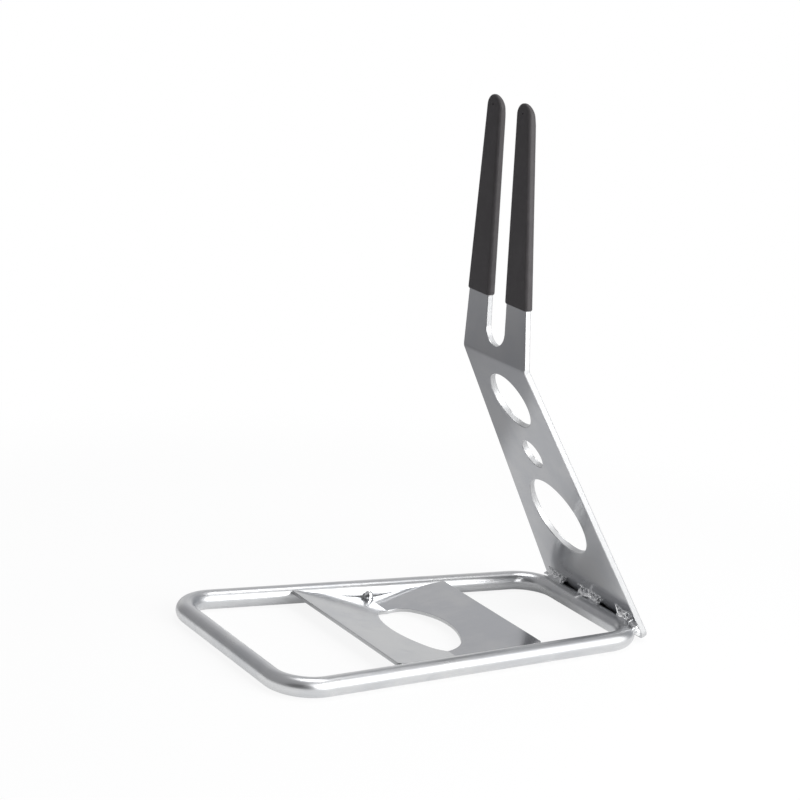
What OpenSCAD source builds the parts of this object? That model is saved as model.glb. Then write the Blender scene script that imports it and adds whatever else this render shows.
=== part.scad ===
// Floor stand that holds a bicycle wheel upright: a bent tube loop lies on the floor, a shallow
// folded trough takes the tyre, and a leaning folded plate ends in a fork for the wheel's axle.
// Millimetres, +Z up. The origin is on the floor under the middle of the stand,
// +X points along the base towards the foot of the upright plate.

/* [Base loop] */
// Outside diameter of the base tube
tube_d = 16; // [14:0.5:18]
// Wall thickness of the base tube
tube_wall = 1.5; // [1:0.25:2.5]
// Overall length of the base loop
base_length = 354; // [330:1:380]
// Distance between the two rail centrelines, taken at the wide end's centreline
wide_end_span = 206.4; // [196:0.2:220]
// Angle of each rail to the stand's centre plane, in degrees
rail_angle = 4.6; // [3.5:0.1:5]
// Centreline radius of the four tube bends
tube_bend_radius = 30; // [26:1:36]
// Diameter of the drain hole under the wide end
drain_d = 4; // [3:0.5:5]

/* [Upright plate] */
// Sheet thickness of the upright plate
upright_t = 5; // [4:0.5:6]
// Width of the upright plate at the floor
foot_width = 139.2; // [132:0.2:143]
// Width of the upright plate at its fold
fold_width = 91.4; // [84:0.2:96]
// Height of the fold above the floor
fold_height = 229.8; // [224:0.2:250]
// Lean of the lower part from the vertical, in degrees
lower_lean = 30.3; // [27:0.1:32]
// Lean of the upper part from the vertical, in degrees
upper_lean = 3; // [1:0.1:4.5]
// Inside radius of the fold
fold_radius = 5; // [3:0.5:8]
// Corner radius at the foot of the plate
foot_corner_radius = 7; // [4:0.5:10]
// Clearance left under the foot, along the sheet
foot_gap = 1.5; // [0.5:0.25:3]
// Diameter of the large lower hole
lower_hole_d = 72.8; // [66:0.2:76]
// Distance of the large lower hole's centre from the floor line, along the sheet
lower_hole_up = 105.7; // [102:0.1:108]
// Diameter of the small middle hole
small_hole_d = 26; // [22:0.5:28]
// Distance of the small hole's centre from the floor line, along the sheet
small_hole_up = 170.8; // [169:0.1:173]
// Diameter of the upper hole
upper_hole_d = 50.7; // [46:0.1:52]
// Distance of the upper hole's centre from the floor line, along the sheet
upper_hole_up = 224.7; // [223:0.1:226]

/* [Axle fork] */
// Width of the fork slot
slot_width = 27.2; // [24:0.2:30]
// Lowest point of the fork slot above the fold
slot_bottom = 11; // [8:0.5:16]
// Height of the bare prong tips above the fold
fork_height = 208.2; // [190:0.2:220]
// Width across both prongs at the height of their tips
fork_top_width = 57.8; // [56:0.2:64]

/* [Wheel trough] */
// Sheet thickness of the trough plate
trough_t = 3; // [2:0.25:3.5]
// Length of the trough plate along the stand, measured flat
trough_length = 141.6; // [130:0.2:146]
// Rise of each half of the trough from the floor, in degrees
trough_rise = 9.2; // [7:0.1:9.6]
// Inside radius of the trough's fold
trough_fold_radius = 3; // [2:0.25:5]
// Distance of the trough's fold from the middle of the base loop, towards the upright
trough_fold_x = 3; // [0:0.5:6]
// Clearance under the trough's fold
trough_gap = 0.25; // [0.25:0.05:1]
// Gap between each end of the trough plate and the rail beside it, bridged by the welds
trough_end_gap = 0.2; // [0.1:0.05:0.5]
// Size of the trough's oval opening across the stand
oval_across = 97; // [90:0.5:102]
// Size of the trough's oval opening along the stand
oval_along = 54.6; // [48:0.2:58]
// Distance of the oval's centre from the trough's fold, towards the upright
oval_offset = 1.8; // [0:0.2:5]

/* [Fork sleeves] */
// Wall thickness of the fork sleeves at the prongs' sides and tips
sleeve_wall = 1.9; // [1.4:0.1:2.3]
// Wall thickness of the fork sleeves on the prongs' front and back
sleeve_face_wall = 1.2; // [1:0.1:1.8]
// Radius of the sleeves' long edges
sleeve_edge_radius = 2.8; // [1.5:0.1:3.5]
// Height of the sleeves' lower ends above the fold
sleeve_start = 49; // [40:0.5:70]
// Diameter of the vent hole in each sleeve
vent_d = 1.8; // [1:0.1:2.2]
// Distance of the vent hole above the centre of the sleeve's tip
vent_up = 2; // [0:0.5:3]

/* [Welds] */
// Radius of the fillet welds between the upright plate and the tube
bead_radius = 4.2; // [3:0.1:5]
// Length of the far fillet weld between its round ends
far_bead_length = 18; // [10:1:22]
// Distance of the far fillet weld's middle from the plate's far corner
far_bead_inset = 18.6; // [17:0.2:22]
// Length of the middle fillet weld between its round ends
middle_bead_length = 24; // [16:1:30]
// Distance of the middle fillet weld's middle from the stand's centre plane
middle_bead_y = 1; // [0:0.5:4]
// Length of the near fillet weld between its round ends
near_bead_length = 12; // [8:1:14]
// Distance of the near fillet weld's middle from the plate's near corner
near_bead_inset = 19.6; // [18:0.2:23]
// Radius of the weld at the foot's near corner
corner_bead_radius = 5; // [4:0.25:6]
// Distance of the corner weld's centre from the plate's near corner
corner_bead_inset = 6; // [4.5:0.25:8]
// Radius of the round welds at the ends of the trough's fold
nugget_radius = 5; // [4:0.25:6]
// Radius of the small welds at the trough's four corners
tack_radius = 3; // [2.25:0.25:3.5]

/* [Hidden] */
$fn = 64;
EDGE_SHARE = 0.02;
OVAL_END_SHARE = 0.69;
TACK_INSET_SHARE = 1.4;
BEND_SHARE = 0.75;
JOINT_SHARE = 0.002;
GROOVE_RISE_SHARE = 1 / 7;
SNAP_STEPS = 1000;
metal = [0.76, 0.77, 0.78];
sheet_metal = [0.70, 0.71, 0.72];
weld_metal = [0.55, 0.55, 0.56];
rubber = [0.16, 0.16, 0.16];

tube_r = tube_d / 2;
bore_r = tube_r - tube_wall;
half_base = base_length / 2;
end_x = half_base - tube_r;
wide_y = wide_end_span / 2;
narrow_y = wide_y - 2 * end_x * tan(rail_angle);
wide_turn = 90 + rail_angle;
narrow_turn = 90 - rail_angle;
wide_tangent = tube_bend_radius * tan(wide_turn / 2);
narrow_tangent = tube_bend_radius * tan(narrow_turn / 2);
rail_length = 2 * end_x / cos(rail_angle) - wide_tangent - narrow_tangent;
wide_centre = [-end_x + tube_bend_radius, wide_y - wide_tangent];
narrow_centre = [end_x - tube_bend_radius, narrow_y - narrow_tangent];

// Where the upright's front face would meet the floor, so that it touches the end tube
floor_line = end_x + (tube_r + tube_r * sin(lower_lean)) / cos(lower_lean);
fold_up = fold_height / cos(lower_lean);
fold_turn = lower_lean - upper_lean;
front_radius = fold_radius + upright_t;
fold_tangent = front_radius * tan(fold_turn / 2);
lower_top = fold_up - fold_tangent;
upper_start = fold_tangent;
foot_half = foot_width / 2;
fold_half = fold_width / 2;
slot_half = slot_width / 2;
foot_slope = (foot_half - fold_half) / lower_top;
foot_side_angle = atan(foot_slope);
foot_round_up = foot_gap + foot_corner_radius;
foot_round_y = foot_half - foot_slope * foot_round_up - foot_corner_radius / cos(foot_side_angle);
fork_slope = (fold_half - fork_top_width / 2) / (fork_height - upper_start);
fork_side_angle = snap(atan(fork_slope));
fork_land = (fork_top_width / 2 - slot_half) * cos(fork_side_angle);
tip_radius = snap(fork_land / (1 + (1 - fork_slope) * cos(fork_side_angle)));
tip_y = slot_half + tip_radius;
tip_up = fork_height - tip_radius;
slot_round_up = slot_bottom + slot_half;
foot_reach = floor_line + upright_t * cos(lower_lean) - foot_gap * sin(lower_lean);
middle_shift = (half_base - foot_reach) / 2;

// Where the welds of the upright sit; past the end tube's bend the groove comes down with it
groove_up = tube_d + bead_radius * GROOVE_RISE_SHARE;
far_bead_y = foot_half - far_bead_inset;
near_bead_y = foot_half - near_bead_inset;
corner_bead_y = foot_half - corner_bead_inset;
corner_past = max(0, corner_bead_y - narrow_centre[1]);
corner_retreat = tube_bend_radius - sqrt(tube_bend_radius * tube_bend_radius - corner_past * corner_past);
corner_bead_z = groove_up - corner_retreat;

trough_half = trough_length / 2;
trough_x = trough_fold_x;
trough_outer_radius = trough_fold_radius + trough_t;
trough_bend_z = trough_gap + trough_outer_radius;
trough_tangent = trough_fold_radius * tan(trough_rise);
oval_b = oval_along / 2 * cos(trough_rise);
oval_a = oval_across / 2;
oval_r = oval_b * OVAL_END_SHARE;
oval_R = (oval_b * oval_b + (oval_a - oval_r) * (oval_a - oval_r) - oval_r * oval_r)
    / (2 * (oval_b - oval_r));
oval_end_angle = atan((oval_R - oval_b) / (oval_a - oval_r));
oval_split = oval_a - oval_r + oval_r * cos(oval_end_angle);
trough_reach_x = trough_length;
trough_top = tube_d + tube_d;

sleeve_tip_radius = tip_radius + sleeve_wall;
sleeve_depth = upright_t + 2 * sleeve_face_wall;
over = tube_d * EDGE_SHARE;

// Rounds a worked-out size, so that pieces built from it meet exactly
function snap(x) = round(x * SNAP_STEPS) / SNAP_STEPS;

// Distance of a rail's centreline from the centre plane
function rail_y(x) = wide_y - (x + end_x) * tan(rail_angle);

// Moves the base loop's own middle to its place in the stand's frame
module placed() {
    translate([middle_shift, 0, 0])
        children();
}

// Length of tube or bar of a given radius along +Z, bored if asked
module straight(radius, bore, length) {
    difference() {
        cylinder(r = radius, h = length);
        if (bore > 0)
            translate([0, 0, -over])
                cylinder(r = bore, h = length + 2 * over);
    }
}

// Bend of the tube or bar in the floor's plane, from +X round by an angle
module bend(radius, bore, turn) {
    rotate_extrude(angle = turn)
        translate([tube_bend_radius, 0])
            difference() {
                circle(r = radius);
                if (bore > 0)
                    circle(r = bore);
            }
}

// Tube or solid bar along the whole loop's centreline
module loop_bar(radius, bore = 0) {
    half_loop(radius, bore);
    mirror([0, 1, 0])
        half_loop(radius, bore);
}

// Half of the loop on the +Y side, built outwards from the middle of its rail
module half_loop(radius, bore) {
    rail_middle_y = (wide_centre[1] + narrow_centre[1]) / 2 + tube_bend_radius * cos(rail_angle);
    rail_middle_x = (wide_centre[0] + narrow_centre[0]) / 2 + tube_bend_radius * sin(rail_angle);
    intersection() {
        translate([rail_middle_x, rail_middle_y, tube_r])
            rotate([0, 0, -rail_angle]) {
                loop_corner(radius, bore, wide_turn, wide_y);
                mirror([1, 0, 0])
                    loop_corner(radius, bore, narrow_turn, narrow_y);
            }
        translate([-base_length, 0, -tube_d])
            cube([2 * base_length, base_length, 3 * tube_d]);
    }
}

// Half a rail, the bend at its -X end and the end tube that enters the bend's mouth
module loop_corner(radius, bore, turn, run) {
    step = tube_d * JOINT_SHARE;
    entry = sqrt(tube_bend_radius * step);
    tube_bore = bore > 0 ? bore + step : 0;
    rotate([0, -90, 0])
        straight(radius, bore, rail_length / 2);
    translate([-rail_length / 2, -tube_bend_radius, 0]) {
        rotate([0, 0, 90])
            bend(radius, bore, turn);
        rotate([0, 0, turn])
            translate([entry, tube_bend_radius, 0])
                rotate([0, -90, 0])
                    straight(radius - step, tube_bore, run + entry);
    }
}

// Axes at the fold's centre: x across, y up between the two sheets, z to the back
module on_fold() {
    translate([
        floor_line - lower_top * sin(lower_lean) + front_radius * cos(lower_lean), 0,
        lower_top * cos(lower_lean) + front_radius * sin(lower_lean)
    ])
        rotate([0, -(lower_lean + upper_lean) / 2, 0])
            rotate([90, 0, 90])
                children();
}

// Turns a child that lies in a sheet's axes away from the fold's middle
module fold_side(along) {
    rotate([-fold_turn / 2, 0, 0])
        translate([0, along, -front_radius])
            children();
}

// Axes of the lower sheet: x across, y up the sheet from the floor, z through it to the back
module on_lower() {
    on_fold()
        fold_side(-lower_top)
            children();
}

// The same for the upper sheet, measured from the fold
module on_upper() {
    on_fold()
        mirror([0, 1, 0])
            fold_side(upper_start)
                mirror([0, 1, 0])
                    children();
}

module lower_sheet() {
    foot_side_y = foot_round_y + foot_corner_radius * cos(foot_side_angle);
    foot_side_up = foot_round_up + foot_corner_radius * sin(foot_side_angle);
    linear_extrude(height = upright_t) {
        polygon([
            [-foot_round_y, foot_gap], [foot_round_y, foot_gap], [foot_side_y, foot_side_up],
            [fold_half, lower_top], [-fold_half, lower_top], [-foot_side_y, foot_side_up]
        ]);
        translate([foot_round_y, foot_round_up])
            circle(r = foot_corner_radius);
        translate([-foot_round_y, foot_round_up])
            circle(r = foot_corner_radius);
    }
}

module upper_sheet() {
    side_y = tip_y + tip_radius * cos(fork_side_angle);
    side_up = tip_up + tip_radius * sin(fork_side_angle);
    linear_extrude(height = upright_t) {
        polygon([
            [-fold_half, upper_start], [fold_half, upper_start], [side_y, side_up],
            [tip_y, tip_up], [slot_half, tip_up], [slot_half, slot_round_up],
            [-slot_half, slot_round_up], [-slot_half, tip_up], [-tip_y, tip_up],
            [-side_y, side_up]
        ]);
        translate([tip_y, tip_up])
            circle(r = tip_radius);
        translate([-tip_y, tip_up])
            circle(r = tip_radius);
    }
}

// Half of the curved strip between the two sheets, below the fold's middle
module fold_arc() {
    intersection() {
        fold_side(0)
            translate([-fold_half, 0, front_radius])
                rotate([0, 90, 0])
                    rotate_extrude(angle = fold_turn * BEND_SHARE)
                        translate([fold_radius, 0])
                            square([upright_t, fold_width]);
        translate([-fold_width, -4 * front_radius, -4 * front_radius])
            cube([2 * fold_width, 4 * front_radius, 8 * front_radius]);
    }
}

module upright_plate() {
    color(sheet_metal)
        placed() difference() {
            union() {
                on_lower()
                    lower_sheet();
                on_fold()
                    fold_arc();
                on_fold()
                    mirror([0, 1, 0])
                        fold_arc();
                on_upper()
                    upper_sheet();
            }
            on_lower()
                upright_holes();
            on_upper()
                translate([0, slot_round_up, -upright_t])
                    cylinder(r = slot_half, h = 3 * upright_t);
        }
}

module upright_holes() {
    translate([0, lower_hole_up, -upright_t])
        cylinder(d = lower_hole_d, h = 3 * upright_t);
    translate([0, small_hole_up, -upright_t])
        cylinder(d = small_hole_d, h = 3 * upright_t);
    translate([0, upper_hole_up, -upright_t])
        cylinder(d = upper_hole_d, h = 3 * upright_t);
}

module base_frame() {
    color(metal)
        placed() difference() {
            loop_bar(tube_r, bore_r);
            translate([-end_x, 0, -tube_wall])
                cylinder(d = drain_d, h = tube_r + tube_wall);
        }
}

// One flat half of the trough, seen from its fold
module trough_half_sheet() {
    rotate([0, -trough_rise, 0])
        translate([0, -wide_y, -trough_outer_radius])
            cube([trough_half - trough_tangent, wide_end_span, trough_t]);
}

module trough_strip() {
    translate([trough_x, 0, trough_bend_z]) {
        trough_half_sheet();
        mirror([1, 0, 0])
            trough_half_sheet();
        translate([0, wide_y, 0])
            rotate([90, 0, 0])
                rotate([0, 0, -90 - trough_rise])
                    rotate_extrude(angle = 2 * trough_rise)
                        translate([trough_fold_radius, 0])
                            square([trough_t, wide_end_span]);
    }
}

// Plan of the trough plate: its ends run along the rails and butt against them
module trough_plan() {
    left = trough_x - trough_reach_x;
    right = trough_x + trough_reach_x;
    inset = (tube_r + trough_end_gap) / cos(rail_angle);
    linear_extrude(height = trough_top)
        polygon([
            [left, -rail_y(left) + inset], [right, -rail_y(right) + inset],
            [right, rail_y(right) - inset], [left, rail_y(left) - inset]
        ]);
}

// Oval of four tangent arcs
module oval() {
    intersection() {
        translate([oval_R - oval_b, 0])
            circle(r = oval_R, $fn = 180);
        translate([oval_b - oval_R, 0])
            circle(r = oval_R, $fn = 180);
        square([2 * oval_a, 2 * oval_split], center = true);
    }
    translate([0, oval_a - oval_r])
        circle(r = oval_r);
    translate([0, oval_r - oval_a])
        circle(r = oval_r);
}

module trough_plate() {
    color(sheet_metal)
        placed() difference() {
            intersection() {
                trough_strip();
                trough_plan();
            }
            translate([trough_x + oval_offset, 0, -trough_t])
                linear_extrude(height = trough_top)
                    oval();
        }
}

// Section of a sleeve's edge: a bar whose far corners are rounded
module edge_section(inset) {
    width = sleeve_tip_radius - inset;
    low = -sleeve_face_wall + inset;
    high = upright_t + sleeve_face_wall - inset;
    inner = width - sleeve_edge_radius;
    polygon([
        [0, low], [inner, low], [inner, low + sleeve_edge_radius],
        [width, low + sleeve_edge_radius], [width, high - sleeve_edge_radius],
        [inner, high - sleeve_edge_radius], [inner, high], [0, high]
    ]);
    intersection() {
        translate([inner, low + sleeve_edge_radius])
            circle(r = sleeve_edge_radius);
        translate([inner, low])
            square([sleeve_edge_radius, sleeve_edge_radius]);
    }
    intersection() {
        translate([inner, high - sleeve_edge_radius])
            circle(r = sleeve_edge_radius);
        translate([inner, high - sleeve_edge_radius])
            square([sleeve_edge_radius, sleeve_edge_radius]);
    }
}

// Outer form of a sleeve in the upper sheet's axes, on the +x prong
module sleeve_form() {
    drop = tip_up - sleeve_start;
    step = tube_d * JOINT_SHARE;
    entry = sqrt(sleeve_tip_radius * step);
    lap = sleeve_edge_radius;
    translate([tip_y, tip_up, 0]) {
        rotate_extrude(angle = 180)
            edge_section(0);
        mirror([1, 0, 0])
            rotate([90, 0, 0])
                linear_extrude(height = drop)
                    edge_section(0);
        intersection() {
            rotate([0, 0, fork_side_angle])
                translate([0, entry, 0])
                    rotate([90, 0, 0])
                        linear_extrude(height = drop + fold_width)
                            edge_section(step);
            translate([-fold_width, -drop, -sleeve_depth])
                cube([2 * fold_width, drop + fold_width, 3 * sleeve_depth]);
        }
        translate([0, 0, -sleeve_face_wall])
            linear_extrude(height = sleeve_depth)
                polygon([[0, entry], [0, -drop], [drop * tan(fork_side_angle) + lap, -drop], [lap, entry]]);
    }
}

// The +x prong itself, which fills the sleeve
module prong() {
    side_y = tip_y + tip_radius * cos(fork_side_angle);
    side_up = tip_up + tip_radius * sin(fork_side_angle);
    low_y = fold_half - fork_slope * (slot_round_up - upper_start);
    linear_extrude(height = upright_t) {
        polygon([
            [slot_half, slot_round_up], [low_y, slot_round_up], [side_y, side_up],
            [tip_y, tip_up], [slot_half, tip_up]
        ]);
        translate([tip_y, tip_up])
            circle(r = tip_radius);
    }
}

module sleeve() {
    color(rubber)
        placed() on_upper()
            difference() {
                sleeve_form();
                prong();
                translate([tip_y, tip_up + vent_up, -2 * sleeve_wall])
                    cylinder(d = vent_d, h = 2 * sleeve_wall + upright_t / 2);
            }
}

module sleeve_far() {
    sleeve();
}

module sleeve_near() {
    mirror([0, 1, 0])
        sleeve();
}

// What the upright's welds must not enter
module upright_bodies() {
    loop_bar(tube_r);
    on_lower()
        translate([-foot_width, -foot_width, 0])
            cube([2 * foot_width, 2 * foot_width, foot_width]);
}

// Round-ended bead lying in the groove between the tube's top and the upright
module bead(length) {
    half = length / 2;
    x = floor_line - groove_up * tan(lower_lean);
    translate([x, 0, groove_up]) {
        translate([0, half, 0])
            rotate([90, 0, 0])
                cylinder(r = bead_radius, h = length);
        translate([0, half, 0])
            sphere(r = bead_radius);
        translate([0, -half, 0])
            sphere(r = bead_radius);
    }
}

module groove_weld(middle, length) {
    color(weld_metal)
        placed() difference() {
            translate([0, middle, 0])
                bead(length);
            upright_bodies();
        }
}

module weld_upright_far() {
    groove_weld(far_bead_y, far_bead_length);
}

module weld_upright_middle() {
    groove_weld(middle_bead_y, middle_bead_length);
}

module weld_upright_near() {
    groove_weld(-near_bead_y, near_bead_length);
}

module weld_upright_corner() {
    color(weld_metal)
        placed() difference() {
            translate([floor_line - corner_bead_z * tan(lower_lean), -corner_bead_y, corner_bead_z])
                sphere(r = corner_bead_radius);
            upright_bodies();
        }
}

// The +Y rail as a solid bar, for the welds beside it
module rail_bar() {
    rail_middle_y = (wide_centre[1] + narrow_centre[1]) / 2 + tube_bend_radius * cos(rail_angle);
    rail_middle_x = (wide_centre[0] + narrow_centre[0]) / 2 + tube_bend_radius * sin(rail_angle);
    translate([rail_middle_x, rail_middle_y, tube_r])
        rotate([0, 0, -rail_angle])
            rotate([0, 90, 0])
                cylinder(r = tube_r, h = rail_length, center = true);
}

// The space on the plate's side of the gap beside the +Y rail
module trough_side() {
    translate([trough_x, rail_y(trough_x), 0])
        rotate([0, 0, -rail_angle])
            translate([-base_length, -base_length - tube_r - trough_end_gap, -tube_d])
                cube([2 * base_length, base_length, 4 * tube_d]);
}

// Weld metal that hugs the rail and the trough plate's end, cut from the children
module trough_weld() {
    difference() {
        children();
        rail_bar();
        intersection() {
            trough_strip();
            trough_side();
        }
    }
}

module trough_nugget() {
    color(weld_metal)
        placed() trough_weld()
            translate([trough_x, rail_y(trough_x) - tube_r - over, nugget_radius + trough_gap])
                rotate([90, 0, 30])
                    sphere(r = nugget_radius);
}

module weld_trough_far() {
    trough_nugget();
}

module weld_trough_near() {
    mirror([0, 1, 0])
        trough_nugget();
}

module corner_tack(side) {
    reach = (trough_half - tack_radius * TACK_INSET_SHARE) * cos(trough_rise);
    x = trough_x + side * reach;
    z = trough_gap + trough_t + reach * tan(trough_rise) - trough_t / 2;
    trough_weld()
        translate([x, rail_y(x) - tube_r, z])
            sphere(r = tack_radius);
}

module weld_trough_corners() {
    color(weld_metal)
        placed() {
        corner_tack(-1);
        corner_tack(1);
        mirror([0, 1, 0])
            corner_tack(-1);
        mirror([0, 1, 0])
            corner_tack(1);
    }
}

base_frame();
upright_plate();
trough_plate();
sleeve_far();
sleeve_near();
weld_upright_far();
weld_upright_middle();
weld_upright_near();
weld_upright_corner();
weld_trough_far();
weld_trough_near();
weld_trough_corners();
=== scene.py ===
"""Looks of the bicycle wheel stand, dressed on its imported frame.

Everything is in metres with +Z up. The origin is on the floor under the middle of
the stand, and +X points towards the foot of the upright plate.
"""

from __future__ import annotations

import logging
import math
import random
from dataclasses import dataclass, field, replace
from enum import Enum

import bmesh
import bpy
from mathutils import Matrix, Vector, noise

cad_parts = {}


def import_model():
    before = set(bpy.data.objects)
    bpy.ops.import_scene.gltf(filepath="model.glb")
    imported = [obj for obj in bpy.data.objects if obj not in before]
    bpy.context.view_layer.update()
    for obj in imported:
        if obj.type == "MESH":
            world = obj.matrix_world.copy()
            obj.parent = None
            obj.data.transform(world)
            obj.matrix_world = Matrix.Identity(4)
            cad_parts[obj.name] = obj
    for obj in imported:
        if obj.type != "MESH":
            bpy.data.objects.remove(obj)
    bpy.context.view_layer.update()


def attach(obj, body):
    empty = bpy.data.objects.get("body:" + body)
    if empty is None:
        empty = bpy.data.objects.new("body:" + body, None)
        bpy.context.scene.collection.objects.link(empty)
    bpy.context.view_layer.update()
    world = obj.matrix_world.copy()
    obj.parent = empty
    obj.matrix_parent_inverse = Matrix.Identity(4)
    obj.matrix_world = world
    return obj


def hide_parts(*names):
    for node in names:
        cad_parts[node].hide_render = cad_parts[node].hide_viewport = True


LOG = logging.getLogger("wheel_stand")
MM = 0.001
BODY = "root"
# From the middle of the base loop to the middle of the whole stand.
MIDDLE_SHIFT = -4.7504 * MM

Material = bpy.types.Material
Mesh = bpy.types.Mesh
Node = bpy.types.Node
Socket = bpy.types.NodeSocket
Point2 = tuple[float, float]
Span = tuple[float, ...]
Loop = list[Point2]
Triple = tuple[float, float, float]
Colour = Triple

WHITE: Colour = (1.0, 1.0, 1.0)
RIGHT: Triple = (1.0, 0.0, 0.0)
FAR: Triple = (0.0, 1.0, 0.0)
NEAR: Triple = (0.0, -1.0, 0.0)
UP: Triple = (0.0, 0.0, 1.0)
DOWN: Triple = (0.0, 0.0, -1.0)
SOCKET_KINDS = {float: "NodeSocketFloat", int: "NodeSocketInt", Vector: "NodeSocketVector"}


class Side(Enum):
    """The two sides of the stand's centre plane."""

    FAR = 1
    NEAR = -1


class Slot(Enum):
    """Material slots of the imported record."""

    TUBE = "tube"
    SHEET = "sheet"
    WELD = "weld"
    SLEEVE = "sleeve"


class Grain(Enum):
    """The attribute that the fine lines of a metal finish follow."""

    DRAWN_TUBE = "drawn"
    FLAT_PATTERN = "flat"


@dataclass(frozen=True)
class Edge:
    """A soft straight edge across the floor or the surroundings."""

    way: Triple
    start: float
    end: float


class NodeGraph:
    """Short spelling for building a shader or geometry node tree."""

    def __init__(self, tree: bpy.types.NodeTree) -> None:
        """Keeps the tree that the calls add to."""
        self.tree = tree

    def add(self, kind: str, inputs: dict | None = None, **settings: object) -> Node:
        """Adds a node, sets its properties and feeds its inputs.

        Args:
            kind: the node's type name.
            inputs: values or output sockets by input name or index.
            **settings: the node's own properties.

        Returns:
            The new node.
        """
        node = self.tree.nodes.new(kind)
        for name, value in settings.items():
            setattr(node, name, value)
        for key, value in (inputs or {}).items():
            self.feed(node.inputs[key], value)
        return node

    def feed(self, socket: Socket, value: object) -> None:
        """Links an output to an input, or sets the input's own value.

        Args:
            socket: the input socket.
            value: an output socket, or a plain value.
        """
        if isinstance(value, Socket):
            self.tree.links.new(value, socket)
        else:
            socket.default_value = (*value, 1.0) if socket.type == "RGBA" else value

    def shade(self, kind: str, inputs: dict | None = None, **settings: object) -> Socket:
        """Adds a shader tree's node, as add does, and returns its first output."""
        return self.add(f"ShaderNode{kind}", inputs, **settings).outputs[0]

    def form(self, kind: str, inputs: dict | None = None, **settings: object) -> Socket:
        """Adds a geometry tree's node, as add does, and returns its first output."""
        return self.add(f"GeometryNode{kind}", inputs, **settings).outputs[0]

    def store(self, geometry: Socket, name: str, value: Socket, kind: str = "FLOAT_VECTOR") -> Socket:
        """Stores a value, of a kind of attribute data, on a geometry's points, and returns the geometry."""
        inputs = {"Geometry": geometry, "Name": name, "Value": value}
        return self.form("StoreNamedAttribute", inputs, data_type=kind, domain="POINT")

    def object_place(self) -> Socket:
        """Returns the object's own coordinates."""
        return self.add("ShaderNodeTexCoord").outputs["Object"]

    def attribute(self, name: str, output: str) -> Socket:
        """Returns an attribute's value from one of its node's outputs."""
        return self.add("ShaderNodeAttribute", attribute_name=name).outputs[output]

    def math(self, operation: str, a: object, b: object = 0.0, clamp: bool = False) -> Socket:
        """Adds a math node on one or two values or sockets, and returns its result."""
        return self.shade("Math", {0: a, 1: b}, operation=operation, use_clamp=clamp)

    def spread(
        self, value: object, low: float, high: float, to_low: float = 0.0, to_high: float = 1.0
    ) -> Socket:
        """Maps a value smoothly from one range to another, and returns the result."""
        ranges = {"Value": value, "From Min": low, "From Max": high, "To Min": to_low, "To Max": to_high}
        return self.shade("MapRange", ranges, interpolation_type="SMOOTHSTEP")

    def past(self, place: Socket, edge: Edge) -> Socket:
        """Returns 0 before a soft edge and 1 past it, for a socket of places or directions."""
        along = self.add("ShaderNodeVectorMath", {0: place, 1: edge.way}, operation="DOT_PRODUCT")
        return self.spread(along.outputs["Value"], edge.start, edge.end)

    def grain(self, place: Socket, scale: float, detail: float, roughness: float = 0.5) -> Socket:
        """Adds a noise pattern with so many features per metre, and returns its value."""
        inputs = {"Vector": place, "Scale": scale, "Detail": detail, "Roughness": roughness}
        return self.shade("TexNoise", inputs)

    def blend(self, share: object, low: object, high: object) -> Socket:
        """Mixes two colours or colour sockets, by the share of the second, and returns the result."""
        return self.add("ShaderNodeMix", {0: share, 6: low, 7: high}, data_type="RGBA").outputs[2]

    def coat(self, colour: Socket, roughness: Socket, relief: Socket, height: float, metallic: float) -> Node:
        """Ends a material with a principled shader.

        Args:
            colour: the surface's colour.
            roughness: its roughness.
            relief: pattern of its fine relief.
            height: the relief's height.
            metallic: 1 for metal, 0 for anything else.

        Returns:
            The shader's node.
        """
        bump = self.shade("Bump", {"Height": relief, "Strength": 1.0, "Distance": height})
        inputs = {"Base Color": colour, "Roughness": roughness, "Normal": bump, "Metallic": metallic}
        shader = self.add("ShaderNodeBsdfPrincipled", inputs)
        self.add("ShaderNodeOutputMaterial", {"Surface": shader.outputs[0]})
        return shader


class GeometryRecipe:
    """A geometry node tree with named inputs, run and kept as a plain mesh."""

    def __init__(self, name: str, values: dict[str, object]) -> None:
        """Makes the tree with its named inputs.

        Args:
            name: the tree's name.
            values: a value for each input, which tells the input's kind.
        """
        self.tree = bpy.data.node_groups.new(name, "GeometryNodeTree")
        self.graph = NodeGraph(self.tree)
        interface = self.tree.interface
        interface.new_socket(name="Mesh", in_out="OUTPUT", socket_type="NodeSocketGeometry")
        kinds = {label: SOCKET_KINDS[type(value)] for label, value in values.items()}
        self.identifiers = {
            label: interface.new_socket(name=label, in_out="INPUT", socket_type=kind).identifier
            for label, kind in {**kinds, "Finish": "NodeSocketMaterial"}.items()
        }
        self.source = self.graph.add("NodeGroupInput").outputs

    def end(self, geometry: Socket) -> None:
        """Ends the tree with real geometry and its finish.

        Args:
            geometry: the socket of the finished geometry.
        """
        real = self.graph.form("RealizeInstances", {0: geometry})
        dressed = self.graph.form("SetMaterial", {"Geometry": real, "Material": self.source["Finish"]})
        self.graph.add("NodeGroupOutput", {0: dressed})

    def run(self, values: dict[str, object], finish: Material) -> Mesh:
        """Runs the tree once.

        Args:
            values: value by input name.
            finish: the result's material.

        Returns:
            The result as a plain mesh.
        """
        carrier = linked("carrier", bpy.data.meshes.new("carrier"))
        modifier = carrier.modifiers.new("recipe", "NODES")
        modifier.node_group = self.tree
        for label, value in {**values, "Finish": finish}.items():
            modifier[self.identifiers[label]] = value
        return evaluated_mesh(carrier)


def linked(name: str, data: bpy.types.ID) -> bpy.types.Object:
    """Makes an object and links it to the scene.

    Args:
        name: the object's name.
        data: its mesh, lamp or camera.

    Returns:
        The object.
    """
    item = bpy.data.objects.new(name, data)
    bpy.context.scene.collection.objects.link(item)
    return item


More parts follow.
